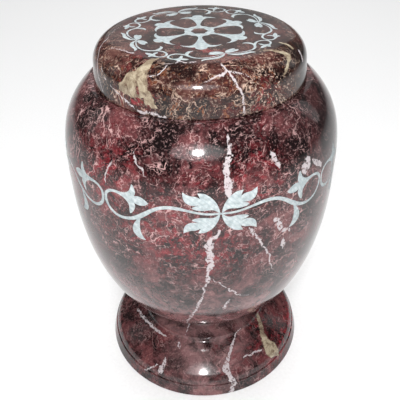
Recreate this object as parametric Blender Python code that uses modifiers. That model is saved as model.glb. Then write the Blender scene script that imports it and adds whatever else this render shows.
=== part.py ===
"""Cremation urn turned in red marble: a hollow body on a moulded foot, and a lift-off lid.

Metres, +Z up. The axis of turning is Z and the flat underside lies at z = 0.
Every profile starts and ends on the axis and runs down its outer side.
"""

import math

import bpy

TURN_STEPS = 72
AXIS_MERGE = 0.00001
EASED_EDGE = 0.0008

# Heights: the whole urn, the lid that rests on the seat, the widest ring of the belly, and the neck.
TOTAL_HEIGHT = 0.285
LID_HEIGHT = 0.0282
LID_GAP = 0.0003
BELLY_HEIGHT = 0.184
NECK_HEIGHT = 0.0535

# Body, outside. The shoulder falls away as a power curve and the underside is a superellipse.
SEAT_RADIUS = 0.078
BELLY_RADIUS = 0.1005
NECK_RADIUS = 0.037
SHOULDER_POWER = 3.9
UNDERSIDE_POWER = 2.1

# Body, inside.
WALL = 0.012
MOUTH_RADIUS = 0.060
MOUTH_DEPTH = 0.009
HOLLOW_FLOOR_HEIGHT = 0.066
HOLLOW_SHOULDER_POWER = 3.0
HOLLOW_FLOOR_POWER = 2.6

# Foot: a cove under the neck, a small fillet with a hollow corner below it, a gently bowed slope that
# rolls over to a narrow ledge, and a flared edge. Directions are those that the surface faces, up from level.
FILLET_HEIGHT = 0.0358
FILLET_DROP = 0.0012
FILLET_WIDTH = 0.003
FOOT_TOP_RADIUS = 0.0548
CORNER_RADIUS = 0.003
SLOPE_TOP_DEG = 65.0
SLOPE_BOW = 0.0005
ROLL_RADIUS = 0.0112
ROLL_TOP_DEG = 58.0
ROLL_END_DEG = 3.0
LEDGE_WIDTH = 0.0009
ARRIS_RADIUS = 0.0855
ARRIS_HEIGHT = 0.010
BASE_RADIUS = 0.088

# Lid: a flat top, a rounded edge, a nearly upright side, and a locating ring that drops into the mouth.
LID_FLAT_RADIUS = 0.0555
LID_EDGE_RADIUS = 0.0726
LID_EDGE_DROP = 0.016
LID_FOOT_RADIUS = 0.0738
RING_CLEARANCE = 0.001
RING_DEPTH = 0.0065
RING_WIDTH = 0.009
LID_PLATE = 0.013
LID_HOLLOW_ROUND = 0.008

# Points along each curve.
SHOULDER_POINTS = 8
UNDERSIDE_POINTS = 10
COVE_POINTS = 5
CORNER_POINTS = 2
SLOPE_POINTS = 2
ROLL_POINTS = 5
LID_EDGE_POINTS = 6
HOLLOW_POINTS = 6
LID_HOLLOW_POINTS = 3
CURVE_CROWDING = 1.4

LID_UNDERSIDE = TOTAL_HEIGHT - LID_HEIGHT
SEAT_HEIGHT = LID_UNDERSIDE - LID_GAP
RING_RADIUS = MOUTH_RADIUS - RING_CLEARANCE
LID_HOLLOW_RADIUS = RING_RADIUS - RING_WIDTH


def ellipse_arc(centre, half_width, half_height, first_deg, last_deg, count):
    """Points of an ellipse from one angle to another, the first left out."""
    points = []
    for step in range(1, count + 1):
        angle = math.radians(first_deg + (last_deg - first_deg) * step / count)
        radius = centre[0] + half_width * math.cos(angle)
        points.append((radius, centre[1] + half_height * math.sin(angle)))
    return points


def bowed_line(start, end, bow, count):
    """Points from start down to end, the first left out, that stand off the straight line by the bow at its middle."""
    along = (end[0] - start[0], end[1] - start[1])
    length = math.hypot(*along)
    points = []
    for step in range(1, count + 1):
        share = step / count
        off = 4 * bow * share * (1 - share) / length
        radius = start[0] + along[0] * share - along[1] * off
        points.append((radius, start[1] + along[1] * share + along[0] * off))
    return points


def shoulder_curve(wide, high, power, count):
    """Points from the upper end out to the widest ring, the first left out, closer near the upper end."""
    points = []
    for step in range(1, count + 1):
        share = 1 - (step / count) ** CURVE_CROWDING
        radius = wide[0] - (wide[0] - high[0]) * share**power
        points.append((radius, wide[1] + (high[1] - wide[1]) * share))
    return points


def bowl_curve(wide, low, power, count):
    """Points from the widest ring down and in to the lower end, the first left out."""
    points = []
    for step in range(1, count + 1):
        share = math.sin(math.pi / 2 * step / count)
        radius = low[0] + (wide[0] - low[0]) * math.sqrt(max(0.0, 1 - share**power))
        points.append((radius, wide[1] - (wide[1] - low[1]) * share))
    return points


def hollow_profile():
    """The inside of the body, from the floor's centre up to the mouth."""
    wide = (BELLY_RADIUS - WALL, BELLY_HEIGHT)
    mouth_foot = (MOUTH_RADIUS, SEAT_HEIGHT - MOUTH_DEPTH)
    down = [(MOUTH_RADIUS + EASED_EDGE, SEAT_HEIGHT)]
    down += [(MOUTH_RADIUS, SEAT_HEIGHT - EASED_EDGE), mouth_foot]
    down += shoulder_curve(wide, mouth_foot, HOLLOW_SHOULDER_POWER, HOLLOW_POINTS)
    down += bowl_curve(wide, (0.0, HOLLOW_FLOOR_HEIGHT), HOLLOW_FLOOR_POWER, HOLLOW_POINTS)
    return down[::-1]


def foot_profile():
    """The foot, from the end of the cove down to the underside's centre."""
    top = FILLET_HEIGHT - FILLET_DROP
    points = [(FOOT_TOP_RADIUS, FILLET_HEIGHT), (FOOT_TOP_RADIUS, top)]
    corner = (FOOT_TOP_RADIUS + CORNER_RADIUS, top)
    end_deg = 180 + SLOPE_TOP_DEG
    points += ellipse_arc(corner, CORNER_RADIUS, CORNER_RADIUS, 180, end_deg, CORNER_POINTS)
    roll_end = math.radians(ROLL_END_DEG)
    roll = (
        ARRIS_RADIUS - LEDGE_WIDTH - ROLL_RADIUS * math.cos(roll_end),
        ARRIS_HEIGHT - ROLL_RADIUS * math.sin(roll_end),
    )
    roll_top = ellipse_arc(roll, ROLL_RADIUS, ROLL_RADIUS, ROLL_TOP_DEG, ROLL_TOP_DEG, 1)[0]
    points += bowed_line(points[-1], roll_top, SLOPE_BOW, SLOPE_POINTS)
    points += ellipse_arc(roll, ROLL_RADIUS, ROLL_RADIUS, ROLL_TOP_DEG, ROLL_END_DEG, ROLL_POINTS)
    points += [(ARRIS_RADIUS, ARRIS_HEIGHT), (BASE_RADIUS, EASED_EDGE)]
    points += [(BASE_RADIUS - EASED_EDGE, 0.0), (0.0, 0.0)]
    return points


def body_profile():
    seat_edge = (SEAT_RADIUS, SEAT_HEIGHT)
    belly = (BELLY_RADIUS, BELLY_HEIGHT)
    neck = (NECK_RADIUS, NECK_HEIGHT)
    cove_radius = FOOT_TOP_RADIUS - FILLET_WIDTH
    points = hollow_profile()
    points.append(seat_edge)
    points += shoulder_curve(belly, seat_edge, SHOULDER_POWER, SHOULDER_POINTS)
    points += bowl_curve(belly, neck, UNDERSIDE_POWER, UNDERSIDE_POINTS)
    points += ellipse_arc(
        (cove_radius, NECK_HEIGHT),
        cove_radius - NECK_RADIUS,
        NECK_HEIGHT - FILLET_HEIGHT,
        180,
        270,
        COVE_POINTS,
    )
    return points + foot_profile()


def lid_profile():
    edge_centre = (LID_FLAT_RADIUS, TOTAL_HEIGHT - LID_EDGE_DROP)
    edge_width = LID_EDGE_RADIUS - LID_FLAT_RADIUS
    ring_bottom = LID_UNDERSIDE - RING_DEPTH
    plate_underside = TOTAL_HEIGHT - LID_PLATE
    points = [(0.0, TOTAL_HEIGHT), (LID_FLAT_RADIUS, TOTAL_HEIGHT)]
    points += ellipse_arc(edge_centre, edge_width, LID_EDGE_DROP, 90, 0, LID_EDGE_POINTS)
    points += [(LID_FOOT_RADIUS, LID_UNDERSIDE + EASED_EDGE)]
    points += [(LID_FOOT_RADIUS - EASED_EDGE, LID_UNDERSIDE), (RING_RADIUS, LID_UNDERSIDE)]
    points += [(RING_RADIUS, ring_bottom + EASED_EDGE), (RING_RADIUS - EASED_EDGE, ring_bottom)]
    points += [(LID_HOLLOW_RADIUS, ring_bottom)]
    points += [(LID_HOLLOW_RADIUS, plate_underside - LID_HOLLOW_ROUND)]
    points += ellipse_arc(
        (LID_HOLLOW_RADIUS - LID_HOLLOW_ROUND, plate_underside - LID_HOLLOW_ROUND),
        LID_HOLLOW_ROUND,
        LID_HOLLOW_ROUND,
        0,
        90,
        LID_HOLLOW_POINTS,
    )
    return points + [(0.0, plate_underside)]


def stone(name, colour, roughness):
    material = bpy.data.materials.new(name)
    material.use_nodes = True
    shader = material.node_tree.nodes["Principled BSDF"]
    shader.inputs["Base Color"].default_value = (*colour, 1.0)
    shader.inputs["Roughness"].default_value = roughness
    material.diffuse_color = (*colour, 1.0)
    return material


def turned(name, profile, material, collection):
    """One solid of revolution about Z from a profile in the XZ plane."""
    mesh = bpy.data.meshes.new(name)
    mesh.from_pydata(
        [(radius, 0.0, height) for radius, height in profile],
        [(index, index + 1) for index in range(len(profile) - 1)],
        [],
    )
    piece = bpy.data.objects.new(name, mesh)
    collection.objects.link(piece)
    screw = piece.modifiers.new("turn", "SCREW")
    screw.axis = "Z"
    screw.angle = math.tau
    screw.steps = TURN_STEPS
    screw.render_steps = TURN_STEPS
    screw.use_merge_vertices = True
    screw.merge_threshold = AXIS_MERGE
    screw.use_smooth_shade = True
    mesh.materials.append(material)
    return piece


def build():
    for leftover in list(bpy.data.objects):
        bpy.data.objects.remove(leftover, do_unlink=True)
    urn = bpy.data.collections.new("cremation_urn")
    bpy.context.scene.collection.children.link(urn)
    turned("urn_body", body_profile(), stone("polished_red_marble", (0.09, 0.014, 0.014), 0.15), urn)
    turned("lid", lid_profile(), stone("polished_lid_marble", (0.07, 0.012, 0.012), 0.15), urn)


build()
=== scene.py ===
"""Looks of the red marble cremation urn: stone body and lid, engraved scrolls filled with white, studio."""

import math
from functools import partial

import bpy
import numpy as np
from mathutils import Matrix, Vector
from mathutils.geometry import delaunay_2d_cdt


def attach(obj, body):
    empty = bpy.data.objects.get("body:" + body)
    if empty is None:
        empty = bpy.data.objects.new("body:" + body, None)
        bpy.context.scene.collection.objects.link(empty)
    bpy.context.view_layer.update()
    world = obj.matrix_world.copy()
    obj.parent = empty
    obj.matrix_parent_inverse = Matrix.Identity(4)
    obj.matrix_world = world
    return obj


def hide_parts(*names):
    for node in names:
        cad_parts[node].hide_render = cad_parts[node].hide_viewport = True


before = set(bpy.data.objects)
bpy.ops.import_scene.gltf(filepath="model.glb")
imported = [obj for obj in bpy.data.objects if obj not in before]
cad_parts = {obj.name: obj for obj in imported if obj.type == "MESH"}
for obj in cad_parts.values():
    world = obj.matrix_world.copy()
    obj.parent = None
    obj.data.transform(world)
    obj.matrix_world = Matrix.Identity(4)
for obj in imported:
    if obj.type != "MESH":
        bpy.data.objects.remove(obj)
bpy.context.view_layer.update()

# Sizes in millimetres, the same as the turned solids'.
HEIGHT, SEAT, BELLY_Z, NECK_Z = 285.0, 256.5, 184.0, 53.5
SEAT_R, BELLY_R, NECK_R = 78.0, 100.5, 37.0
WALL, MOUTH_R, MOUTH_DEPTH, HOLLOW_FLOOR = 12.0, 60.0, 9.0, 66.0
FILLET_Z, FILLET_DROP, FILLET_WIDTH, FOOT_TOP_R = 35.8, 1.2, 3.0, 54.8
CORNER_R, SLOPE_TOP_DEG, SLOPE_BOW = 3.0, 65.0, 0.5
ROLL_R, ROLL_TOP_DEG, ROLL_END_DEG, LEDGE_WIDTH = 11.2, 58.0, 3.0, 0.9
ARRIS_R, ARRIS_Z, BASE_R = 85.5, 10.0, 88.0
LID_FLAT_R, LID_EDGE_R, LID_EDGE_DROP, LID_FOOT_R = 55.5, 72.6, 16.0, 73.8
LID_UNDERSIDE, RING_R, RING_DEPTH, LID_HOLLOW_R = 256.8, 59.0, 6.5, 50.0
LID_PLATE, LID_HOLLOW_ROUND, EASED = 13.0, 8.0, 0.8
SHOULDER_POWER, UNDERSIDE_POWER, HOLLOW_SHOULDER_POWER, HOLLOW_FLOOR_POWER = 3.9, 2.1, 3, 2.6
# Small edges that only the looks have, and the height where the rows of the lower belly begin to crowd.
LIP_OUT, LIP_DOWN, SHOULDER_DOWN, FILLET_ROUND, LEDGE_ROUND = 0.1, 0.15, 0.6, 0.5, 0.4
CROWD_Z = 150

# The engraved band: where its middle runs, where a leaf pair sits, and four repeats round the belly.
BAND_Z, BAND_LEAF_DEG, BAND_R = 207.4, 6.36, 100.0
BAND_TOP, BAND_BOTTOM, BAND_ROWS = 18.0, -28.0, 24
REPEATS = 4
HALF_UNIT = BAND_R * math.pi / REPEATS
ROUND_BELLY = 2 * REPEATS * HALF_UNIT
LID_RING_R, LID_LEAF_DEG, LID_SHEET_R, ROSETTE_DEG = 43.8, 20.7, 54.5, 2.0
# Depths below the polished face: the groove's floor, and the top and underside of the white in it.
GROOVE, FILL_BELOW, FILL_UNDER = 0.35, 0.10, 0.32
STEPS_PER_HALF_UNIT = 30
TURN_STEPS = 2 * REPEATS * STEPS_PER_HALF_UNIT
# Points closer than WELD are one point, and a triangle with less area than SLIVER is dropped.
WELD, SLIVER = 2e-4, 1e-9


def smooth_run(points, step=0.7):
    """A smooth line through these rows, in steps of about this many millimetres."""
    rows = np.array(points, float)
    if len(rows) == 2:
        return rows
    rows = np.vstack([2 * rows[0] - rows[1], rows, 2 * rows[-1] - rows[-2]])
    made = []
    for a, b, c, d in zip(rows, rows[1:], rows[2:], rows[3:]):
        count = max(1, math.ceil(np.linalg.norm((c - b)[:2]) / step))
        t = (np.arange(count) / count)[:, None]
        doubled = 2 * b + (c - a) * t + (2 * a - 5 * b + 4 * c - d) * t**2 + (3 * b - a - 3 * c + d) * t**3
        made.append(0.5 * doubled)
    made.append(rows[-2][None])
    return np.vstack(made)


def outline(*runs, step=0.7):
    """A closed outline of smooth runs that meet in corners."""
    return np.vstack([smooth_run(run, step)[:-1] for run in runs])


def stroke(points, step=0.9):
    """The outline of a line of varying width; each row is x, y, half width."""
    rows = smooth_run(points, step)
    along = np.gradient(rows[:, :2], axis=0)
    side = np.stack([-along[:, 1], along[:, 0]], 1) / np.linalg.norm(along, axis=1)[:, None] * rows[:, 2:]
    return np.vstack([rows[:, :2] + side, (rows[:, :2] - side)[::-1]])


def flipped(shape):
    return shape * [1, -1]


def squared_end(shape, near=0.25):
    """The outline with the points by its start moved onto the line that it is mirrored in."""
    return np.column_stack([np.where(shape[:, 0] < near, 0.0, shape[:, 0]), shape[:, 1]])


# One half unit of the band's scroll, in mm from the middle of a leaf pair (x along the band, y up).
BAND_STEM = [
    (0, -0.1, 0.7), (8, 0.0, 0.8), (14, 0.9, 0.8), (20, 2.3, 0.9), (26, 3.5, 1.15), (32, 3.8, 1.2),
    (38, 2.5, 1.2), (43, -0.2, 1.3), (47, -3.2, 1.5), (51, -6.2, 1.6), (55, -8.7, 1.4), (60, -10.7, 1.2),
    (65, -11.5, 1.15), (70, -10.7, 1.15), (74.3, -7.8, 1.2), (76.7, -3.8, 1.2), (77.2, 0.2, 1.2),
    (76.4, 3.2, 1.1), (73.5, 5.8, 1.05), (69.5, 6.8, 1.0), (66, 6.7, 1.2), (63.5, 6.3, 1.4),
]
BAND_LEAF = (
    [(0.5, 0.5), (1.2, 4.0), (2.8, 7.7), (5.2, 11.0), (8.6, 13.6), (11.5, 14.5), (14.2, 14.6)],
    [(14.2, 14.6), (13.4, 13.0), (12.5, 11.0)],
    [(12.5, 11.0), (15.5, 12.4), (19.2, 12.9), (23.3, 15.0)],
    [(23.3, 15.0), (22.9, 11.0), (21.3, 8.0), (18.0, 6.3), (13.4, 6.4)],
    [(13.4, 6.4), (16.0, 5.7), (17.8, 4.6)],
    [(17.8, 4.6), (16.4, 3.4), (13.2, 2.7), (9.5, 2.6), (6.0, 3.0), (3.4, 2.3), (1.6, 0.9), (0.5, 0.5)],
)
BAND_BUD = (
    [(64.5, 7.8), (61.0, 8.5), (58.4, 10.2), (57.1, 12.6), (56.4, 15.2)],
    [(56.4, 15.2), (55.3, 14.9), (54.1, 12.5), (53.6, 9.9), (54.5, 7.7)],
    [(54.5, 7.7), (52.3, 8.2), (49.5, 7.8), (46.8, 6.3), (44.7, 4.6)],
    [(44.7, 4.6), (46.8, 2.8), (49.5, 1.9), (52.3, 1.9), (54.5, 2.6)],
    [(54.5, 2.6), (54.0, 0.4), (54.9, -2.4), (56.5, -4.9), (58.3, -6.3)],
    [(58.3, -6.3), (58.6, -3.4), (58.4, -0.8), (59.4, 1.7), (61.6, 3.8), (64.5, 5.2)],
    [(64.5, 5.2), (64.5, 7.8)],
)
BAND_TENDRIL = (
    [(50.0, -5.6), (51.3, -9.6), (51.9, -14.0), (51.8, -18.0), (50.7, -21.8), (48.5, -25.3)],
    [(48.5, -25.3), (52.0, -25.2), (55.2, -23.6), (57.3, -20.6),
     (57.4, -17.0), (56.1, -13.4), (54.0, -10.2), (53.4, -7.6)],
    [(53.4, -7.6), (50.0, -5.6)],
)
# The same half unit on the lid, smaller and bent to the ring: x along it, y outwards.
LID_STEM = [
    (0, -0.1, 0.5), (3, 0.9, 0.4), (6, 2.2, 0.4), (10, 3.6, 0.5), (14, 4.3, 0.6), (17.5, 4.2, 0.7),
    (20.5, 2.9, 0.8), (22.8, 0.9, 0.9), (25.2, -0.5, 0.85), (28, -1.1, 0.7), (30.8, -0.5, 0.7),
    (32.9, 1.5, 0.7), (33.6, 4.0, 0.7), (32.8, 6.3, 0.65), (30.6, 7.6, 0.65), (28.6, 7.7, 0.8),
]
LID_LEAF_OUTER = (
    [(0.4, 0.5), (1.3, 2.6), (3.6, 5.0), (7.0, 6.9), (10.5, 7.3)],
    [(10.5, 7.3), (12.8, 7.6), (15.2, 9.2)],
    [(15.2, 9.2), (14.9, 7.2), (13.4, 5.5)],
    [(13.4, 5.5), (10.5, 5.0), (7.0, 4.0), (4.0, 2.7), (1.6, 1.0), (0.4, 0.5)],
)
LID_LEAF_INNER = (
    [(0.4, -0.6), (1.0, -2.6), (3.2, -4.3), (6.5, -5.0), (9.6, -4.6)],
    [(9.6, -4.6), (9.0, -3.2), (10.6, -1.9)],
    [(10.6, -1.9), (9.5, -0.5), (6.5, 0.2), (3.5, 0.1), (1.4, -0.3), (0.4, -0.6)],
)
LID_BUD = (
    [(29.2, 8.5), (27.7, 8.9), (27.0, 9.6), (26.7, 10.4)],
    [(26.7, 10.4), (25.6, 9.8), (25.3, 8.6), (25.6, 7.9)],
    [(25.6, 7.9), (24.2, 8.1), (22.5, 7.6), (21.2, 6.5)],
    [(21.2, 6.5), (22.6, 5.6), (24.3, 5.2), (25.5, 5.4)],
    [(25.5, 5.4), (25.3, 3.8), (25.7, 2.2), (26.5, 0.8)],
    [(26.5, 0.8), (27.2, 2.6), (27.2, 4.6), (27.8, 6.0), (29.2, 6.9)],
    [(29.2, 6.9), (29.2, 8.5)],
)
LID_TENDRIL = (
    [(22.2, 1.5), (22.9, -1.2), (22.8, -3.6), (21.8, -5.8), (19.8, -7.4)],
    [(19.8, -7.4), (22.4, -7.3), (24.6, -5.9), (25.4, -3.5), (25.1, -1.2), (24.3, 0.2)],
    [(24.3, 0.2), (22.2, 1.5)],
)
# One side of a rosette arm: x across it, y from the lid's middle outwards, tip first.
ROSETTE_SIDE = (
    [(0.0, 34.4), (2.0, 33.9), (3.6, 32.2), (3.8, 30.2)],
    [(3.8, 30.2), (6.6, 30.1), (9.6, 29.1), (12.0, 27.4), (13.4, 25.4)],
    [(13.4, 25.4), (11.2, 26.6), (8.8, 27.1), (6.3, 26.6), (4.5, 24.6),
     (3.1, 21.5), (2.0, 17.5), (1.3, 14.0), (1.4, 11.6), (2.6, 9.7), (5.15, 8.92)],
)
ROSETTE_HOLE_FLAT = 5.0


def radius_at(z):
    """The body's outer radius between the neck and the seat."""
    z = np.asarray(z, float)
    up = np.clip((z - BELLY_Z) / (SEAT - BELLY_Z), 0, 1)
    down = np.clip((BELLY_Z - z) / (BELLY_Z - NECK_Z), 0, 1)
    shoulder = BELLY_R - (BELLY_R - SEAT_R) * up**SHOULDER_POWER
    underside = NECK_R + (BELLY_R - NECK_R) * np.sqrt(1 - down**UNDERSIDE_POWER)
    return np.where(z >= BELLY_Z, shoulder, underside)


def slope_at(z, by=0.05):
    return (radius_at(z + by) - radius_at(z - by)) / (2 * by)


def arc(centre, wide, high, first, last, count):
    angle = np.radians(np.linspace(first, last, count + 1))
    return np.stack([centre[0] + wide * np.cos(angle), centre[1] + high * np.sin(angle)], 1)


def straight(*points):
    return np.array(points, float)


def bowed(start, end, bow, count):
    """A line from start to end that stands off the straight one by the bow at its middle."""
    share = np.linspace(0, 1, count + 1)[:, None]
    along = end - start
    off = np.array([-along[1], along[0]]) / np.linalg.norm(along)
    return start + along * share + off * 4 * bow * share * (1 - share)


def outer_run(top, bottom, count):
    z = np.linspace(top, bottom, count + 1)
    return np.stack([radius_at(z), z], 1)


def underside_run(top, bottom, count):
    """Rows of the underside that crowd towards the neck, where it turns in."""
    first, last = ((BELLY_Z - z) / (BELLY_Z - NECK_Z) for z in (top, bottom))
    share = np.sin(np.linspace(math.asin(first), math.asin(last), count + 1))
    z = BELLY_Z - (BELLY_Z - NECK_Z) * share
    return np.stack([radius_at(z), z], 1)


def body_runs():
    """Smooth runs of the body's profile from the hollow's floor, over the seat and down to the base."""
    wide = BELLY_R - WALL
    share = np.sin(np.linspace(math.pi / 2, 0, 25))
    bowl = wide * np.sqrt(np.maximum(0, 1 - share**HOLLOW_FLOOR_POWER))
    floor = np.stack([bowl, BELLY_Z - (BELLY_Z - HOLLOW_FLOOR) * share], 1)
    up = np.linspace(0, 1, 17)[1:]
    rise = SEAT - MOUTH_DEPTH - BELLY_Z
    closing = wide - (wide - MOUTH_R) * up**HOLLOW_SHOULDER_POWER
    inside = np.vstack([floor, np.stack([closing, BELLY_Z + rise * up], 1)])
    lip = (SEAT_R + LIP_OUT, SEAT - LIP_DOWN)
    belly = outer_run(BAND_Z + BAND_BOTTOM, CROWD_Z, 12)[:-1]
    top = FILLET_Z - FILLET_DROP
    corner = arc((FOOT_TOP_R + CORNER_R, top), CORNER_R, CORNER_R, 180, 180 + SLOPE_TOP_DEG, 6)
    roll_end = math.radians(ROLL_END_DEG)
    roll_middle = (ARRIS_R - LEDGE_WIDTH - ROLL_R * math.cos(roll_end), ARRIS_Z - ROLL_R * math.sin(roll_end))
    roll = arc(roll_middle, ROLL_R, ROLL_R, ROLL_TOP_DEG, ROLL_END_DEG, 14)
    cove_r = FOOT_TOP_R - FILLET_WIDTH
    fillet_r, fillet_z = FOOT_TOP_R - FILLET_ROUND, FILLET_Z - FILLET_ROUND
    ledge_r, ledge_z = ARRIS_R - LEDGE_ROUND, ARRIS_Z - LEDGE_ROUND
    return {
        "hollow": inside,
        "mouth": straight((MOUTH_R, SEAT - MOUTH_DEPTH), (MOUTH_R, SEAT - EASED)),
        "mouth_edge": arc((MOUTH_R + EASED, SEAT - EASED), EASED, EASED, 180, 90, 3),
        "seat": straight((MOUTH_R + EASED, SEAT), (SEAT_R - EASED, SEAT)),
        "seat_edge": straight((SEAT_R - EASED, SEAT), lip),
        "shoulder": np.vstack([straight(lip), outer_run(SEAT - SHOULDER_DOWN, BAND_Z + BAND_TOP, 16)]),
        "underside": np.vstack([belly, underside_run(CROWD_Z, NECK_Z, 30)]),
        "cove": arc((cove_r, NECK_Z), cove_r - NECK_R, NECK_Z - FILLET_Z, 180, 270, 12),
        "fillet": straight((cove_r, FILLET_Z), (fillet_r, FILLET_Z)),
        "fillet_edge": arc((fillet_r, fillet_z), FILLET_ROUND, FILLET_ROUND, 90, 0, 3),
        "fillet_drop": straight((FOOT_TOP_R, fillet_z), (FOOT_TOP_R, top)),
        "bulge": np.vstack([corner[:-1], bowed(corner[-1], roll[0], SLOPE_BOW, 12), roll[1:]]),
        "ledge": straight((ARRIS_R - LEDGE_WIDTH, ARRIS_Z), (ledge_r, ARRIS_Z)),
        "ledge_edge": arc((ledge_r, ledge_z), LEDGE_ROUND, LEDGE_ROUND, 90, 0, 3),
        "edge": straight((ARRIS_R, ledge_z), (BASE_R, EASED)),
        "base_edge": straight((BASE_R, EASED), (BASE_R - EASED, 0)),
        "base": straight((BASE_R - EASED, 0), (60, 0), (30, 0), (0, 0)),
    }


def lid_runs():
    """Smooth runs of the lid's profile from the edge of its engraved top round to its hollow."""
    ring_low, plate = LID_UNDERSIDE - RING_DEPTH, HEIGHT - LID_PLATE
    corner = (LID_HOLLOW_R - LID_HOLLOW_ROUND, plate - LID_HOLLOW_ROUND)
    return {
        "top": straight((LID_SHEET_R, HEIGHT), (LID_FLAT_R, HEIGHT)),
        "round": arc((LID_FLAT_R, HEIGHT - LID_EDGE_DROP), LID_EDGE_R - LID_FLAT_R, LID_EDGE_DROP, 90, 0, 22),
        "side": straight((LID_EDGE_R, HEIGHT - LID_EDGE_DROP), (LID_FOOT_R, LID_UNDERSIDE + EASED)),
        "side_edge": arc((LID_FOOT_R - EASED, LID_UNDERSIDE + EASED), EASED, EASED, 0, -90, 3),
        "rest": straight((LID_FOOT_R - EASED, LID_UNDERSIDE), (RING_R, LID_UNDERSIDE)),
        "ring_side": straight((RING_R, LID_UNDERSIDE), (RING_R, ring_low + EASED)),
        "ring_edge": arc((RING_R - EASED, ring_low + EASED), EASED, EASED, 0, -90, 3),
        "ring_foot": straight((RING_R - EASED, ring_low), (LID_HOLLOW_R, ring_low)),
        "hollow_side": straight((LID_HOLLOW_R, ring_low), (LID_HOLLOW_R, plate - LID_HOLLOW_ROUND)),
        "hollow_round": arc(corner, LID_HOLLOW_ROUND, LID_HOLLOW_ROUND, 0, 90, 6),
        "plate": straight((LID_HOLLOW_R - LID_HOLLOW_ROUND, plate), (20, plate), (0, plate)),
    }


def place(radius, angle, z):
    return np.stack([radius * np.sin(angle), -radius * np.cos(angle), z + 0 * angle], -1)


class Skin:
    """Triangles gathered with a normal at each corner, then welded into one mesh."""

    def __init__(self):
        self.corners, self.normals = [], []

    def add(self, corners, normals):
        self.corners.append(np.asarray(corners, float))
        self.normals.append(np.asarray(normals, float))

    def turned_run(self, run, start_deg):
        """One smooth run of the profile turned round the axis."""
        step = np.gradient(run, axis=0) if len(run) > 2 else np.repeat(run[1:] - run[:1], 2, 0)
        normal = np.stack([-step[:, 1], step[:, 0]], 1)
        normal /= np.linalg.norm(normal, axis=1)[:, None]
        angle = math.radians(start_deg) + np.arange(TURN_STEPS + 1) * math.tau / TURN_STEPS
        angle[-1] = angle[0]
        spots = place(run[:, :1], angle[None], run[:, 1:])
        facing = place(normal[:, :1], angle[None], normal[:, 1:])
        for one, two, three in (((0, 0), (1, 0), (1, 1)), ((0, 0), (1, 1), (0, 1))):
            picks = [(slice(i, len(run) - 1 + i), slice(j, TURN_STEPS + j)) for i, j in (one, two, three)]
            self.add(
                np.stack([spots[p] for p in picks], 2).reshape(-1, 3, 3),
                np.stack([facing[p] for p in picks], 2).reshape(-1, 3, 3),
            )

    def mesh(self, name):
        corners, normals = np.vstack(self.corners), np.vstack(self.normals)
        keys = np.round(corners.reshape(-1, 3) / WELD).astype(np.int64)
        _, first, index = np.unique(keys, axis=0, return_index=True, return_inverse=True)
        faces = index.reshape(-1, 3)
        whole = (faces[:, 0] != faces[:, 1]) & (faces[:, 1] != faces[:, 2]) & (faces[:, 0] != faces[:, 2])
        faces, normals = faces[whole], normals[whole]
        points = corners.reshape(-1, 3)[first] / 1000
        mesh = bpy.data.meshes.new(name)
        mesh.from_pydata(points.tolist(), [], faces.tolist())
        mesh.polygons.foreach_set("use_smooth", np.ones(len(faces), bool))
        mesh.normals_split_custom_set(normals.reshape(-1, 3).tolist())
        mesh.update()
        return mesh


def inlay_sheet(border, shapes, bare, loose):
    """Cuts the flat area inside a border into triangles along the shapes' outlines.
    Returns the points, the triangles, and which of them lie in a shape and not in a bare one."""
    points, exact, edges, faces = [], [], [], []

    def put(shape):
        base = len(points)
        points.extend(Vector(row) for row in shape)
        exact.extend(tuple(row) for row in shape)
        return list(range(base, len(points)))

    ring = put(border)
    edges += list(zip(ring, ring[1:] + ring[:1]))
    for shape in [*shapes, *bare]:
        area = np.sum(shape[:, 0] * np.roll(shape[:, 1], -1) - shape[:, 1] * np.roll(shape[:, 0], -1))
        faces.append(put(shape if area > 0 else shape[::-1]))
    put(loose)
    spots, _, cut, sources, _, origins = delaunay_2d_cdt(points, edges, faces, 0, 1e-5)
    kept, filled = [], []
    for face, origin in zip(cut, origins):
        for corner in range(1, len(face) - 1):
            kept.append((face[0], face[corner], face[corner + 1]))
            filled.append(bool(origin) and all(o < len(shapes) for o in origin))
    spots = np.array([exact[source[0]] if source else tuple(spot) for spot, source in zip(spots, sources)])
    kept = np.array(kept)
    a, b, c = (spots[kept[:, i]] for i in range(3))
    turn = (b - a)[:, 0] * (c - a)[:, 1] - (b - a)[:, 1] * (c - a)[:, 0]
    kept[turn < 0] = kept[turn < 0][:, ::-1]
    solid = np.abs(turn) > SLIVER
    return spots, kept[solid], np.array(filled)[solid]


def engrave(stone, fill, spots, tris, filled, surface):
    """Adds a flat sheet to the stone with its shapes sunk into it, and the white that lies in them."""
    top, normal = surface(spots)
    floor, fill_top, fill_low = (top - normal * d for d in (GROOVE, FILL_BELOW, FILL_UNDER))
    plain, sunk = tris[~filled], tris[filled]
    stone.add(top[plain], normal[plain])
    stone.add(floor[sunk], normal[sunk])
    fill.add(fill_top[sunk], normal[sunk])
    fill.add(fill_low[sunk[:, ::-1]], -normal[sunk[:, ::-1]])
    sides = {}
    for tri, full in zip(tris.tolist(), filled.tolist()):
        for a, b in zip(tri, tri[1:] + tri[:1]):
            sides[a, b] = full
    rim = np.array([(a, b) for (a, b), full in sides.items() if full and not sides.get((b, a), True)])
    a, b = rim[:, 0], rim[:, 1]
    for skin, high, low, one, two in ((stone, top, floor, a, b), (fill, fill_top, fill_low, b, a)):
        out = -np.cross(high[two] - high[one], normal[one])
        out /= np.maximum(np.linalg.norm(out, axis=1), SLIVER)[:, None]
        for pick in ((high[one], high[two], low[two]), (high[one], low[two], low[one])):
            skin.add(np.stack(pick, 1), np.repeat(out[:, None], 3, 1))


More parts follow.
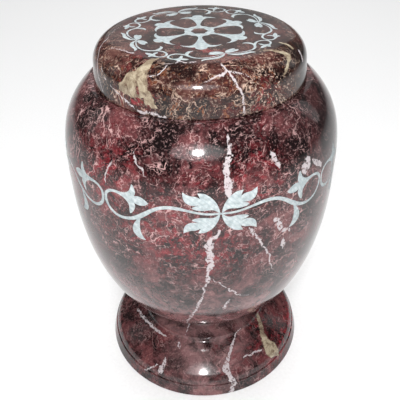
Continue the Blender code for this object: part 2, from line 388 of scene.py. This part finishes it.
def band_sheet():
    """The whole engraved band as (turn in mm, height) points: one half unit cut, mirrored and repeated."""
    xs = np.linspace(0, HALF_UNIT, STEPS_PER_HALF_UNIT + 1)
    ys = np.linspace(BAND_BOTTOM, BAND_TOP, BAND_ROWS)
    border = [(x, ys[0]) for x in xs] + [(xs[-1], y) for y in ys[1:]]
    border += [(x, ys[-1]) for x in xs[-2::-1]] + [(0.0, y) for y in ys[-2:0:-1]]
    leaf = outline(*BAND_LEAF)
    shapes = [squared_end(stroke(BAND_STEM)), leaf, flipped(leaf), outline(*BAND_BUD), outline(*BAND_TENDRIL)]
    loose = [(x, y) for x in xs[1:-1] for y in ys[1:-1]]
    spots, tris, filled = inlay_sheet(np.array(border), shapes, [], loose)
    all_spots, all_tris, all_filled = [], [], []
    for unit in range(REPEATS):
        for side in (1, -1):
            moved = spots * [side, 1] + [unit * 2 * HALF_UNIT, 0]
            all_tris.append((tris if side > 0 else tris[:, ::-1]) + len(spots) * len(all_tris))
            all_spots.append(moved)
            all_filled.append(filled)
    flat, tris, filled = np.vstack(all_spots), np.vstack(all_tris), np.concatenate(all_filled)
    flat[:, 0] = np.round(flat[:, 0] % ROUND_BELLY, 9) % round(ROUND_BELLY, 9)
    _, first, index = np.unique(np.round(flat, 4), axis=0, return_index=True, return_inverse=True)
    return flat[first], index.reshape(-1)[tris], filled


def on_belly(flat):
    angle = math.radians(BAND_LEAF_DEG) + flat[:, 0] / BAND_R
    z = BAND_Z + flat[:, 1]
    slope = slope_at(z)
    normal = place(np.ones(len(z)), angle, -slope) / np.sqrt(1 + slope**2)[:, None]
    return place(radius_at(z), angle, z), normal


def lid_sheet():
    """The lid's flat top as (x, y) points: the scroll ring, and the rosette with its bare middle."""
    half_unit = [squared_end(stroke(LID_STEM))]
    half_unit += [outline(*rows) for rows in (LID_LEAF_OUTER, LID_LEAF_INNER, LID_BUD, LID_TENDRIL)]
    shapes = []
    for unit in range(REPEATS):
        for side in (1, -1):
            for shape in half_unit:
                angle = math.radians(LID_LEAF_DEG + 90 * unit) + side * shape[:, 0] / LID_RING_R
                radius = LID_RING_R + shape[:, 1]
                shapes.append(np.stack([radius * np.sin(angle), -radius * np.cos(angle)], 1))
    half = outline(*ROSETTE_SIDE)
    contour = []
    for arm in range(6):
        turn = math.radians(ROSETTE_DEG + 60 * arm)
        across, out = np.vstack([(half * [-1, 1])[:0:-1], half]).T
        cos, sin = math.cos(turn), math.sin(turn)
        contour.append(np.stack([across * cos + out * sin, across * sin - out * cos], 1))
    shapes.append(np.vstack(contour))
    corners = math.radians(ROSETTE_DEG + 30) + np.arange(6) * math.tau / 6
    far = ROSETTE_HOLE_FLAT / math.cos(math.pi / 6)
    bare = [np.stack([far * np.sin(corners), -far * np.cos(corners)], 1)]
    angle = math.radians(BAND_LEAF_DEG) + np.arange(TURN_STEPS) * math.tau / TURN_STEPS
    border = np.stack([LID_SHEET_R * np.sin(angle), -LID_SHEET_R * np.cos(angle)], 1)
    return inlay_sheet(border, shapes, bare, [])


def on_lid(flat):
    top = np.column_stack([flat, np.full(len(flat), HEIGHT)])
    return top, np.repeat([[0.0, 0.0, 1.0]], len(flat), 0)


def make_piece(name, skin, material, replaced):
    piece = bpy.data.objects.new(name, skin.mesh(name))
    bpy.context.scene.collection.objects.link(piece)
    piece.data.materials.append(material)
    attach(piece, "root")
    if replaced:
        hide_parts(replaced)
    return piece


def colour(code):
    """Linear colour of an sRGB hex value."""
    parts = [int(code[i : i + 2], 16) / 255 for i in (1, 3, 5)]
    return (*(p / 12.92 if p <= 0.04045 else ((p + 0.055) / 1.055) ** 2.4 for p in parts), 1.0)


def shades_of(rows):
    """A ramp's stops from rows of place and sRGB hex value."""
    return [(spot, colour(code)) for spot, code in rows]


def add_node(tree, kind, settings=None, feeds=(), stops=(), out=0):
    """Adds a node with settings, values or links in, and a ramp's stops; returns one of its outputs."""
    made = tree.nodes.new("ShaderNode" + kind)
    for key, value in (settings or {}).items():
        setattr(made, key, value)
    for key, value in feeds.items() if isinstance(feeds, dict) else enumerate(feeds):
        if isinstance(value, bpy.types.NodeSocket):
            tree.links.new(value, made.inputs[key])
        else:
            made.inputs[key].default_value = value
    for index, (spot, shade) in enumerate(stops):
        element = made.color_ramp.elements[index] if index < 2 else made.color_ramp.elements.new(spot)
        element.position = spot
        element.color = shade
    return made.outputs[out]


def new_material(name):
    """A new material, its shader, and add_node for its tree."""
    material = bpy.data.materials.new(name)
    material.use_nodes = True
    tree = material.node_tree
    return material, tree.nodes["Principled BSDF"], partial(add_node, tree)


def feed(shader, socket, value):
    """Links an output to one of the shader's sockets."""
    shader.id_data.links.new(value, shader.inputs[socket])


RGBA, SOFT = {"data_type": "RGBA"}, {"interpolation_type": "SMOOTHSTEP"}
TIMES, PLUS, MINUS = {"operation": "MULTIPLY"}, {"operation": "ADD"}, {"operation": "SUBTRACT"}
TIMES_PLUS, LENGTH = {"operation": "MULTIPLY_ADD"}, {"operation": "LENGTH"}
# A vein's width is kept in a ramp's second channel, as (width + 2 mm) over this span.
WIDTH_SPAN, WIDTH_FLOOR = 64.0, 2.0


def vein(add, along, across, rows, soft=0.7):
    """How much of a placed vein shows. Rows are along, across and width in mm, and the sockets are in mm."""
    rows = sorted(rows)
    first, last = rows[0][0], rows[-1][0]
    low = min(r[1] for r in rows)
    span = max(max(r[1] for r in rows) - low, 1.0)
    stops = []
    for spot, middle, width in rows:
        kept = ((middle - low) / span, (width + WIDTH_FLOOR) / WIDTH_SPAN, 0, 1)
        stops.append(((spot - first) / (last - first), kept))
    share = add("MapRange", None, {"Value": along, "From Min": first, "From Max": last})
    middle, width, _ = add("SeparateColor", None, [add("ValToRGB", None, [share], stops)]).node.outputs
    off = add("Math", MINUS, [across, add("Math", TIMES_PLUS, [middle, span, low])])
    reach = add("Math", TIMES_PLUS, [width, WIDTH_SPAN / 2, -WIDTH_FLOOR / 2])
    inside = add("Math", MINUS, [reach, add("Math", {"operation": "ABSOLUTE"}, [off])])
    return add("MapRange", SOFT, {"Value": inside, "From Min": -soft / 2, "From Max": soft / 2})


def strongest(add, masks):
    kept = masks[0]
    for mask in masks[1:]:
        kept = add("Math", {"operation": "MAXIMUM"}, [kept, mask])
    return kept


def in_mm(rows, upright):
    """Vein rows in mm at the belly, from (height, angle, width) or (angle, height, width) in degrees."""
    per_degree = math.radians(1) * BAND_R
    return [(a, b * per_degree, w) if upright else (a * per_degree, b, w) for a, b, w in rows]


def hairs(add, where, mm, apart, width, patch, share):
    """Curved broken hairs about this many mm apart, in patches that cover about this share."""
    field = add("TexNoise", None, {"Vector": where, "Scale": 1 / apart, "Detail": 2.0, "Roughness": 0.6})
    off = add("Math", {"operation": "ABSOLUTE"}, [add("Math", MINUS, [field, 0.5])])
    line = add("MapRange", SOFT, {"Value": off, "From Min": 0.4 * width / apart, "From Max": 0.0})
    area = add("TexNoise", None, {"Vector": mm, "Scale": 1 / patch, "Detail": 4.0, "Roughness": 0.7})
    none, full = 0.60 - 0.2 * share, 0.68 - 0.2 * share
    room = add("MapRange", SOFT, {"Value": area, "From Min": none, "From Max": full})
    return add("Math", TIMES, [line, room])


def flecks(add, where, size, share, sharp=0.16):
    """Small scattered grains of this many mm, of which this share shows."""
    cells = add("TexVoronoi", None, {"Vector": where, "Scale": 1 / size}).node.outputs
    luck = add("SeparateColor", None, [cells["Color"]], out=1)
    chosen = add("Math", {"operation": "GREATER_THAN"}, [luck, 1 - share])
    grain = add("MapRange", SOFT, {"Value": cells["Distance"], "From Min": 0.30 + sharp, "From Max": 0.30})
    return add("Math", TIMES, [chosen, grain])


def glow(add, turn, rise, degrees, height, reach):
    """A soft round area centred at an angle and height, fading out at this reach in mm."""
    side = add("Math", MINUS, [turn, math.radians(degrees) * BAND_R])
    up = add("Math", MINUS, [rise, height])
    far = add("VectorMath", LENGTH, [add("CombineXYZ", None, [side, up, 0.0])], out=1)
    return add("MapRange", SOFT, {"Value": far, "From Min": reach, "From Max": 0.0})


# Placed veins and patches, as height in mm, angle from the front in degrees and width in mm. The rows
# of an ACROSS list start with the angle. A width of -2 ends a vein. On the lid and the foot the height is
# a place's height plus OVER_START less its distance from the axis, so that it runs on over flat stone.
OVER_START = 73.0
BODY_WHITE = [
    [(254, 10.5, -2), (251, 10.5, 2), (245, 11, 3), (236, 8.8, 5), (228, 9.2, 5),
     (220, 9.3, 3.5), (215, 9.2, -2)],
    [(197, 5, -2), (193, 5.5, 2.5), (187, 3, 4), (179, 2, 5), (168, 2.8, 5), (157, 2, 2.5),
     (146, 1, 2), (135, -0.5, 1.6), (126, -2, 1.8), (112, -4, 1.5), (102, -6, 1.8), (85, -10, 2),
     (70, -12, 2), (60, -13, 2), (52, -14.5, 2.5), (44, -16, 2), (37, -19, 2), (34, -20, -2)],
    [(152, 3, -2), (149.9, 4, 1), (136.4, 11, 1.2), (128, 15, 1.2), (125.8, 19.5, 1), (125, 22, -2)],
    [(196, 16.5, -2), (193, 17.2, 1.2), (180, 21, 1.5), (167, 25.3, 1.3), (148, 29, 0.8), (140, 31, -2)],
    [(231, 43, -2), (228, 42.5, 7), (222, 41.5, 9), (217, 41, -2)],
    [(228, 45, -2), (224, 47, 5), (219, 50, 7), (214, 52, -2)],
    [(242, 26, -2), (238, 27, 4), (233, 28, 4.5), (228, 29, -2)],
    [(196, 27.5, -2), (194, 28, 3), (189, 29, 4), (184, 31, 5), (180, 34, 3), (176, 35, -2)],
    [(178, 31, -2), (172, 32, 3.5), (168, 32.5, 3), (163, 33, -2)],
    [(127, 10, -2), (123, 11, 1.2), (112, 9, 1.6), (108, 8, -2)],
    [(246, -27, -2), (240, -26, 1), (232, -22, 1.2), (225, -17, -2)],
    [(242, -33, -2), (230, -36, 1.2), (220, -38, 1.5), (212, -37, -2)],
]
BODY_PINK = [(227, 17, -2), (222, 21, 3), (217, 25, 3.5), (212, 29.5, 2), (209, 31, -2)]
FOOT_CREAM = [
    (54, 62, -2), (50, 60, 8), (44, 57, 8), (38, 53.5, 8), (31, 49.5, 8), (24, 48, 11),
    (15.6, 47.5, 15), (7, 47, 17), (2, 48.5, 12), (-1.6, 50, 6), (-4, 51, -2),
]
FOOT_WHITE = [
    [(59, 46, -2), (56, 38, 2.5), (50.9, 29.5, 3), (43, 24, 4), (30.6, 17.5, 4), (18, 12.8, 7),
     (13, 13.2, 9), (8.8, 14.5, 5), (-3.3, 16.3, 6), (-13.8, 14.2, 4), (-18, 14, -2)],
    [(47, -23, -2), (44.7, -22.3, 4), (40, -21, 4.5), (36, -20.5, -2)],
    [(24, -28, -2), (22.2, -28, 2), (12.6, -27.5, 5), (5, -28.5, 6), (1, -29, -2)],
    [(13, -30.5, -2), (11.1, -31.5, 2), (-2.9, -38.5, 2), (-6, -40, -2)],
    [(62, 9, -2), (61, 8.5, 2.5), (54, 3.5, 2.5), (52.5, 2.5, -2)],
]
FOOT_WHITE_ACROSS = [
    [(-80, 37, -2), (-77, 37.7, 3), (-57, 44.1, 3), (-37, 44.5, 2), (-33, 45, -2)],
    [(25, 22.5, -2), (27, 22.2, 1.4), (40, 19.8, 1.6), (43, 19.5, -2)],
]
LID_CREAM = [
    [(307, -26, -2), (302.5, -30, 7), (294.5, -29.8, 8), (288.5, -31.2, 13), (282, -32.7, 21),
     (277, -33, 26), (271.7, -34.2, 31), (268.4, -33.7, 31), (266, -33.5, -2)],
    [(276, -27, -2), (273.4, -27, 9), (269.2, -25.5, 9), (264.8, -24.5, 8.5),
     (262.4, -21.5, 6), (260.5, -21, -2)],
    [(307, 43, -2), (304.3, 46.5, 3), (298, 51, 5), (292, 54.5, 7), (287.7, 55.5, 8),
     (283, 52.5, 6), (278, 47.5, 4), (275, 45, 3), (272, 44, -2)],
    [(303.5, 64, -2), (302.5, 64, 3), (297.8, 64, 3.5), (290.8, 64, 4), (288, 64, -2)],
]
LID_SLIT = [(277, -31.8, -2), (274, -31.3, 2.6), (270.5, -30.5, 3), (268, -29.3, -2)]
LID_WHITE = [
    [(304, -104, -2), (302.5, -101.5, 1.5), (296.7, -82, 1.8), (287.4, -74.5, 2), (276.6, -66, 2),
     (268, -63, 1.6), (261.5, -58, 2), (259, -56, -2)],
    [(279, -62, -2), (277.2, -60.5, 2), (270.5, -53.5, 2.5), (268, -51, -2)],
    [(270, -51, -2), (268, -49, 2.5), (264.8, -41, 3), (258.8, -34, 2.5), (257, -32, -2)],
    [(283, -28, -2), (284.1, -26.5, 1.2), (287.7, -21.5, 1.4), (296.1, -18.5, 1.3), (298, -18, -2)],
    [(303, 12, -2), (299, 12.5, 1.2), (290.2, 14.5, 1.8), (279.2, 17, 2.2),
     (270.5, 20, 1.8), (257, 20.5, 1.8), (255, 20.5, -2)],
    [(287, 67.5, -2), (284.7, 67.5, 3), (275, 66.5, 3), (272, 66, -2)],
]
LID_WHITE_ACROSS = [
    [(-33, 257.3, -2), (-30.5, 257.5, 2), (-24.5, 258.4, 2), (-17, 257.3, 2), (-14, 257, -2)],
    [(-68, 296, -2), (-65, 297.2, 1.2), (-47, 302.3, 1.2), (-44, 303, -2)],
    [(-21, 297, -2), (-20, 298.3, 1), (-12.5, 303.4, 1), (-2, 303.4, 1), (0, 303, -2)],
    [(-1, 282, -2), (2, 283.1, 1), (8, 286.8, 1.4), (14.5, 290.2, 1.6), (24, 284.3, 1.2), (27, 283, -2)],
]


# Soft areas, as angle from the front in degrees, height and reach in mm: red in the stone, painted shade at
# the right side, a pale sheen on the foot and pale grains on the lid.
BODY_CRIMSON = ((-38, 222, 45), (-14, 190, 52), (4, 178, 40), (20, 226, 30), (-60, 196, 35))
LID_CRIMSON = ((-33, 268, 30), (32, 262, 26), (-80, 270, 40))
# Painted shade: a darker patch on the right side of the belly, and one on the right side of the lid.
BODY_PAINTED_SHADE, LID_PAINTED_SHADE = (62, 238, 55), (68, 277, 50)
# The foot's area is partly paler stone and partly painted reflection: a pale sheen on the front of the foot.
FOOT_PALE_AND_SHEEN, LID_CHIPS = (4, 42, 85), (40, 275, 55)
# Heights between which the calcite thins out, and how much of it is left there.
BODY_CALM, LID_CALM = (130.0, 185.0, 0.4), (303.0, 297.0, 0.35)
BODY_SHADES = ((0.36, "#080505"), (0.45, "#1b0f10"), (0.5, "#371e1f"), (0.56, "#573032"), (0.66, "#774847"))
LID_SHADES = ((0.34, "#0b0606"), (0.44, "#190d0c"), (0.5, "#301a17"), (0.57, "#4c2d29"), (0.68, "#694740"))
CREAM_SHADES = ((0.36, "#655447"), (0.5, "#92846f"), (0.64, "#b3a892"))
FILL_SHADES = ((0.34, "#95a0a3"), (0.5, "#afb8ba"), (0.66, "#c4cbcc"))


def marble(name, lid):
    """Polished breccia: iron-red limestone, broken into maroon and brown-black grains and healed with
    white calcite. Sawn, turned and polished, so the eye gets a dark, wet-looking colour under a clear,
    mirror-like skin. Each scale is one over the size in mm of a cloud, grain or crack."""
    material, shader, add = new_material(name)
    mm = add("VectorMath", {"operation": "SCALE"}, {0: add("TexCoord", out="Object"), "Scale": 1000.0})
    swirl = add("TexNoise", None, {"Vector": mm, "Scale": 1 / 26, "Detail": 3.0}, out="Color")
    cracked = {"Vector": mm, "Scale": 1 / 4, "Detail": 3.0, "Roughness": 0.6}
    ragged = add("TexNoise", None, cracked, out="Color")
    bend = add("VectorMath", TIMES_PLUS, [swirl, (26, 26, 26), mm])
    bend = add("VectorMath", TIMES_PLUS, [ragged, (5, 5, 5), bend])
    x, y, z = add("SeparateXYZ", None, [mm]).node.outputs
    around = add("Math", {"operation": "ARCTAN2"}, [x, add("Math", TIMES, [y, -1.0])])
    shaky = {"Vector": mm, "Scale": 1 / 6, "Detail": 4.0, "Roughness": 0.65}
    wobble = add("TexNoise", None, shaky, out="Color")
    sway, lift, _ = add("SeparateColor", None, [wobble]).node.outputs
    turn = add("Math", TIMES_PLUS, [around, BAND_R, add("Math", TIMES_PLUS, [sway, 8.0, -4.0])])
    rise = add("Math", PLUS, [z, add("Math", TIMES_PLUS, [lift, 8.0, -4.0])])
    far = add("VectorMath", LENGTH, [add("CombineXYZ", None, [x, y, 0.0])], out=1)
    over = add("Math", MINUS, [add("Math", PLUS, [rise, OVER_START]), far])
    along = over if lid else rise

    # The layers of colour, each as how much of it shows and its colour, lowest first: mostly the stone's own,
    # with painted shade and a partly painted sheen among them.
    cloud = add("TexNoise", None, {"Vector": bend, "Scale": 1 / 26, "Detail": 9.0, "Roughness": 0.74})
    ground = add("ValToRGB", None, [cloud], shades_of(LID_SHADES if lid else BODY_SHADES))
    iron = add("TexNoise", None, {"Vector": bend, "Scale": 1 / 6, "Detail": 6.0, "Roughness": 0.75})
    iron = add("MapRange", SOFT, {"Value": iron, "From Min": 0.45, "From Max": 0.66})
    areas = [glow(add, turn, along, *area) for area in (LID_CRIMSON if lid else BODY_CRIMSON)]
    wide = add("TexNoise", None, {"Vector": mm, "Scale": 1 / 55, "Detail": 2.0})
    areas.append(add("MapRange", SOFT, {"Value": wide, "From Min": 0.5, "From Max": 0.75}))
    layers = [(add("Math", TIMES, [iron, strongest(add, areas)]), colour("#8a262f"))]
    black = flecks(add, bend, 5.0, 0.35, 0.3)
    layers.append((add("Math", TIMES, [black, 0.5]), colour("#0c0607")))

    if not lid:
        # Partly paler stone and partly painted reflection: a pale grey-pink sheen over the lower belly and
        # the front of the foot, standing in for the floor and the room shining in the polish.
        on_foot = add("Math", {"operation": "LESS_THAN"}, [z, FILLET_Z])
        foot_pale_and_sheen = add("Math", TIMES, [glow(add, turn, over, *FOOT_PALE_AND_SHEEN), on_foot])
        low = add("MapRange", SOFT, {"Value": rise, "From Min": 165.0, "From Max": 110.0, "To Max": 0.6})
        low = add("Math", TIMES, [low, add("Math", MINUS, [1.0, on_foot])])
        thin = add("MapRange", None, {"Value": cloud, "From Min": 0.38, "From Max": 0.62, "To Max": 0.7})
        pale_and_sheen = add("Math", TIMES, [strongest(add, [foot_pale_and_sheen, low]), thin])
        layers.append((pale_and_sheen, colour("#9c7e7e")))
    # The calcite's dust is a few tenths of a millimetre in the stone, and coarser here so that it shows.
    dust = add("TexNoise", None, {"Vector": mm, "Scale": 1 / 1.5, "Detail": 3.0, "Roughness": 0.7})
    dust = add("MapRange", SOFT, {"Value": dust, "From Min": 0.52, "From Max": 0.72})
    fine = hairs(add, bend, mm, 8.0, 0.5, 14, 0.7)
    long = hairs(add, bend, mm, 24.0, 0.8, 30, 0.5)
    healed = [add("Math", TIMES, list(pair)) for pair in ((dust, 0.4), (fine, 0.6), (long, 0.9))]
    first, last, least = LID_CALM if lid else BODY_CALM
    calm = {"Value": along, "From Min": first, "From Max": last, "To Min": least, "To Max": 1.0}
    calcite = add("Math", TIMES, [strongest(add, healed), add("MapRange", SOFT, calm)])
    layers.append((calcite, colour("#c9ae9c" if lid else "#c59f9d")))
    white = [vein(add, along, turn, in_mm(rows, True)) for rows in (LID_WHITE if lid else BODY_WHITE)]
    if lid:
        off_top = add("MapRange", SOFT, {"Value": over, "From Min": 303.0, "From Max": 292.0})
        rust = add("Math", TIMES, [flecks(add, bend, 2.0, 0.5, 0.3), off_top])
        rusty = add("MapRange", SOFT, {"Value": iron, "From Min": 0.1, "From Max": 0.7})
        layers.append((add("Math", TIMES, [rust, rusty]), colour("#70452f")))
        chips = add("Math", TIMES, [flecks(add, bend, 1.5, 0.22, 0.2), glow(add, turn, over, *LID_CHIPS)])
        layers.append((add("Math", TIMES, [chips, 0.8]), colour("#c9b3a4")))
        white += [vein(add, turn, over, in_mm(rows, False)) for rows in LID_WHITE_ACROSS]
        cream = strongest(add, [vein(add, over, turn, in_mm(rows, True), 1.0) for rows in LID_CREAM])
        cream = add("Math", MINUS, [cream, vein(add, over, turn, in_mm(LID_SLIT, True), 1.5)])
    else:
        foot = [vein(add, over, turn, in_mm(rows, True)) for rows in FOOT_WHITE]
        foot += [vein(add, turn, over, in_mm(rows, False)) for rows in FOOT_WHITE_ACROSS]
        white.append(add("Math", TIMES, [strongest(add, foot), on_foot]))
        cream = add("Math", TIMES, [vein(add, over, turn, in_mm(FOOT_CREAM, True), 1.5), on_foot])
        grained = add("MapRange", SOFT, {"Value": iron, "From Min": 0.2, "From Max": 0.8})
        pink = add("Math", TIMES, [vein(add, rise, turn, in_mm(BODY_PINK, True), 3), grained])
        layers.append((pink, colour("#a57571")))
    # Painted shade: the stone darkened towards the right side of the belly and of the lid.
    painted_shade = glow(add, turn, along, *(LID_PAINTED_SHADE if lid else BODY_PAINTED_SHADE))
    layers.append((add("Math", TIMES, [painted_shade, 0.85]), colour("#120a0b")))
    torn = add("TexNoise", None, {"Vector": mm, "Scale": 1 / 2.2, "Detail": 4.0, "Roughness": 0.65})
    torn = add("MapRange", SOFT, {"Value": torn, "From Min": 0.38, "From Max": 0.50})
    layers.append((add("Math", TIMES, [strongest(add, white), torn]), colour("#b9b0b2")))
    mottle = add("TexNoise", None, {"Vector": bend, "Scale": 1 / 5, "Detail": 6.0, "Roughness": 0.65})
    buff = add("ValToRGB", None, [mottle], shades_of(CREAM_SHADES))
    whole = add("MapRange", SOFT, {"Value": mottle, "From Min": 0.30, "From Max": 0.38})
    layers.append((add("Math", TIMES, [cream, whole]), buff))
    for share, tone in layers:
        ground = add("Mix", RGBA, {0: share, 6: ground, 7: tone}, out=2)
    feed(shader, "Base Color", ground)
    worn = add("TexNoise", None, {"Vector": mm, "Scale": 1 / 12, "Detail": 4.0})
    polish = {"Value": worn, "From Min": 0.3, "From Max": 0.7, "To Min": 0.09, "To Max": 0.15}
    feed(shader, "Roughness", add("MapRange", None, polish))
    shader.inputs["IOR"].default_value = 1.5
    return material


def white_fill():
    """Stone paint rubbed into the engraving and wiped level: chalky, a little blue, with the cutter's
    hatching through it. The hatching is coarser than the cutter's lines so that it shows."""
    material, shader, add = new_material("white_fill")
    mm = add("VectorMath", {"operation": "SCALE"}, {0: add("TexCoord", out="Object"), "Scale": 1000.0})
    cloud = add("TexNoise", None, {"Vector": mm, "Scale": 1 / 2.5, "Detail": 5.0})
    tone = add("ValToRGB", None, [cloud], shades_of(FILL_SHADES))
    lines = {"Vector": mm, "Scale": 1 / 6.5, "Distortion": 1.5, "Detail": 2.0}
    hatch = add("TexWave", {"bands_direction": "DIAGONAL"}, lines, out="Fac")
    scored = {"Value": hatch, "From Min": 0.0, "From Max": 0.35, "To Min": 0.45, "To Max": 0.0}
    scored = add("MapRange", None, scored)
    feed(shader, "Base Color", add("Mix", RGBA, {0: scored, 6: tone, 7: colour("#8fa1a8")}, out=2))
    chalky = {"Value": cloud, "From Min": 0.3, "From Max": 0.7, "To Min": 0.45, "To Max": 0.62}
    feed(shader, "Roughness", add("MapRange", None, chalky))
    return material


body_stone, body_fill = Skin(), Skin()
for run in body_runs().values():
    body_stone.turned_run(run, BAND_LEAF_DEG)
engrave(body_stone, body_fill, *band_sheet(), on_belly)
lid_stone, lid_fill = Skin(), Skin()
for run in lid_runs().values():
    lid_stone.turned_run(run, BAND_LEAF_DEG)
engrave(lid_stone, lid_fill, *lid_sheet(), on_lid)

paint = white_fill()
make_piece("body_stone", body_stone, marble("body_marble", False), "urn_body")
make_piece("lid_stone", lid_stone, marble("lid_marble", True), "lid")
make_piece("body_scroll_fill", body_fill, paint, None)
make_piece("lid_scroll_fill", lid_fill, paint, None)


def pale_floor():
    """Matt white studio paper, faintly mottled."""
    material, shader, add = new_material("studio_paper")
    grain = add("TexNoise", None, {"Vector": add("TexCoord", out="Object"), "Scale": 400.0, "Detail": 3.0})
    tone = add("ValToRGB", None, [grain], shades_of(((0.3, "#f4f4f4"), (0.7, "#fafafa"))))
    feed(shader, "Base Color", tone)
    shader.inputs["Roughness"].default_value = 0.8
    return material


mesh = bpy.data.meshes.new("floor")
mesh.from_pydata([(-4, -4, 0), (4, -4, 0), (4, 4, 0), (-4, 4, 0)], [], [(0, 1, 2, 3)])
floor = bpy.data.objects.new("floor", mesh)
# A fifth of a millimetre under the base, so that the two faces don't fight.
floor.location.z = -0.0002
bpy.context.scene.collection.objects.link(floor)
mesh.materials.append(pale_floor())

world = bpy.data.worlds.new("studio")
world.use_nodes = True
world.node_tree.nodes["Background"].inputs[0].default_value = colour("#f5f5f8")
world.node_tree.nodes["Background"].inputs[1].default_value = 0.08
bpy.context.scene.world = world


def lamp(name, spot, aim, size, watts, mirrored=True):
    """A soft panel; one that isn't mirrored lights the scene as a wash with no reflection of itself."""
    light = bpy.data.lights.new(name, "AREA")
    light.shape = "ELLIPSE"
    light.size, light.size_y = size
    light.energy = watts
    made = bpy.data.objects.new(name, light)
    made.location = spot
    made.rotation_mode = "QUATERNION"
    made.rotation_quaternion = (Vector(aim) - Vector(spot)).to_track_quat("-Z", "Y")
    made.visible_glossy = mirrored
    bpy.context.scene.collection.objects.link(made)


lamp("floor_wash", (0.0, 0.9, 2.6), (0, 0.9, 0), (3.0, 3.0), 70, False)
lamp("front_wash", (0.1, -1.25, 0.95), (0, 0, 0.15), (1.0, 1.0), 6, False)
lamp("front_floor", (0.0, -0.9, 1.0), (0, -0.8, 0), (0.8, 0.8), 7, False)
lamp("back_wall", (0.0, 3.0, 1.1), (0, 0, 0.3), (3.0, 1.6), 4.5)
lamp("window_right", (1.3, 0.5, 0.75), (0, 0, 0.2), (0.3, 0.8), 0.4)
lamp("window_left", (-1.3, 0.3, 0.75), (0, 0, 0.2), (0.4, 0.8), 0.3)
lamp("flash", (-0.018, -0.37, 0.475), (0, 0, 0.15), (0.045, 0.045), 0.9)
lamp("flash_bounce", (-0.018, -0.375, 0.48), (0, 0, 0.15), (0.3, 0.16), 0.35)

FRAME_PX, FOCAL_PX, MIDDLE_PX = 400.0, 526.68, (202.56, 205.49)
camera_data = bpy.data.cameras.new("camera")
camera_data.sensor_width = 36.0
camera_data.lens = FOCAL_PX / FRAME_PX * camera_data.sensor_width
camera_data.shift_x = (FRAME_PX / 2 - MIDDLE_PX[0]) / FRAME_PX
camera_data.shift_y = (MIDDLE_PX[1] - FRAME_PX / 2) / FRAME_PX
camera_data.clip_start, camera_data.clip_end = 0.01, 20.0
camera = bpy.data.objects.new("camera", camera_data)
bpy.context.scene.collection.objects.link(camera)
camera.matrix_world = (
    Matrix.Translation((0.0, -0.35162, 0.40326))
    @ Matrix.Rotation(math.radians(90 - 36.93), 4, "X")
    @ Matrix.Rotation(math.radians(-1.06), 4, "Z")
)
bpy.context.scene.camera = camera
bpy.context.scene.view_settings.view_transform = "Standard"
